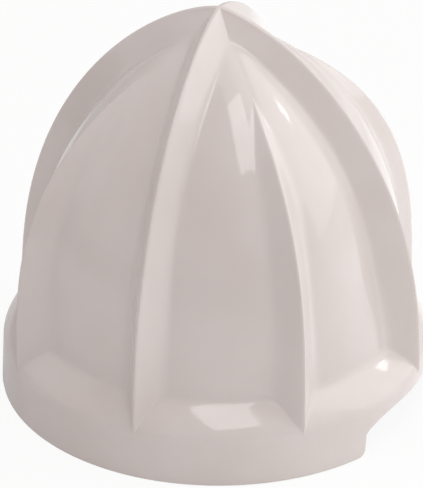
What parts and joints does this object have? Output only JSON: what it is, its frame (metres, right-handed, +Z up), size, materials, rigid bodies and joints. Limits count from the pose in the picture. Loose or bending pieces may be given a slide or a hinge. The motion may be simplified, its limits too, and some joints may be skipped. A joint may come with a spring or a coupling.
{
  "type": "citrus juicer reamer",
  "caption": "Ribbed dome-shaped citrus reamer with a skirt; the large cone lifts straight off a small ribbed cone that carries a hexagonal drive socket.",
  "frame": {"origin": "On the cones' common axis, in the plane of the skirt's lower edge, which the reamer stands on", "axes": "+Z up along the cones' axis; the long ribs lie on +X, -X, +Y and -Y; the finger notches are on +X and -X"},
  "size_m": [0.0834, 0.084, 0.0792],
  "materials": {
    "gloss_white": "moulded white plastic, high gloss, slightly warm",
    "satin_white": "moulded white plastic, satin",
    "bush_grey": "grey acetal, satin",
    "spring_steel": "bright spring wire"
  },
  "bodies": {
    "small_cone_set": {"small_cone": "satin_white", "drive_bush": "bush_grey", "spindle_clip": "spring_steel"},
    "large_cone": {"large_cone": "gloss_white"}
  },
  "joints": [
    {"name": "large_cone_lift", "type": "slide", "parent": "small_cone_set", "child": "large_cone", "axis": [0, 0, 1], "range_m": [0, 0.06]}
  ]
}
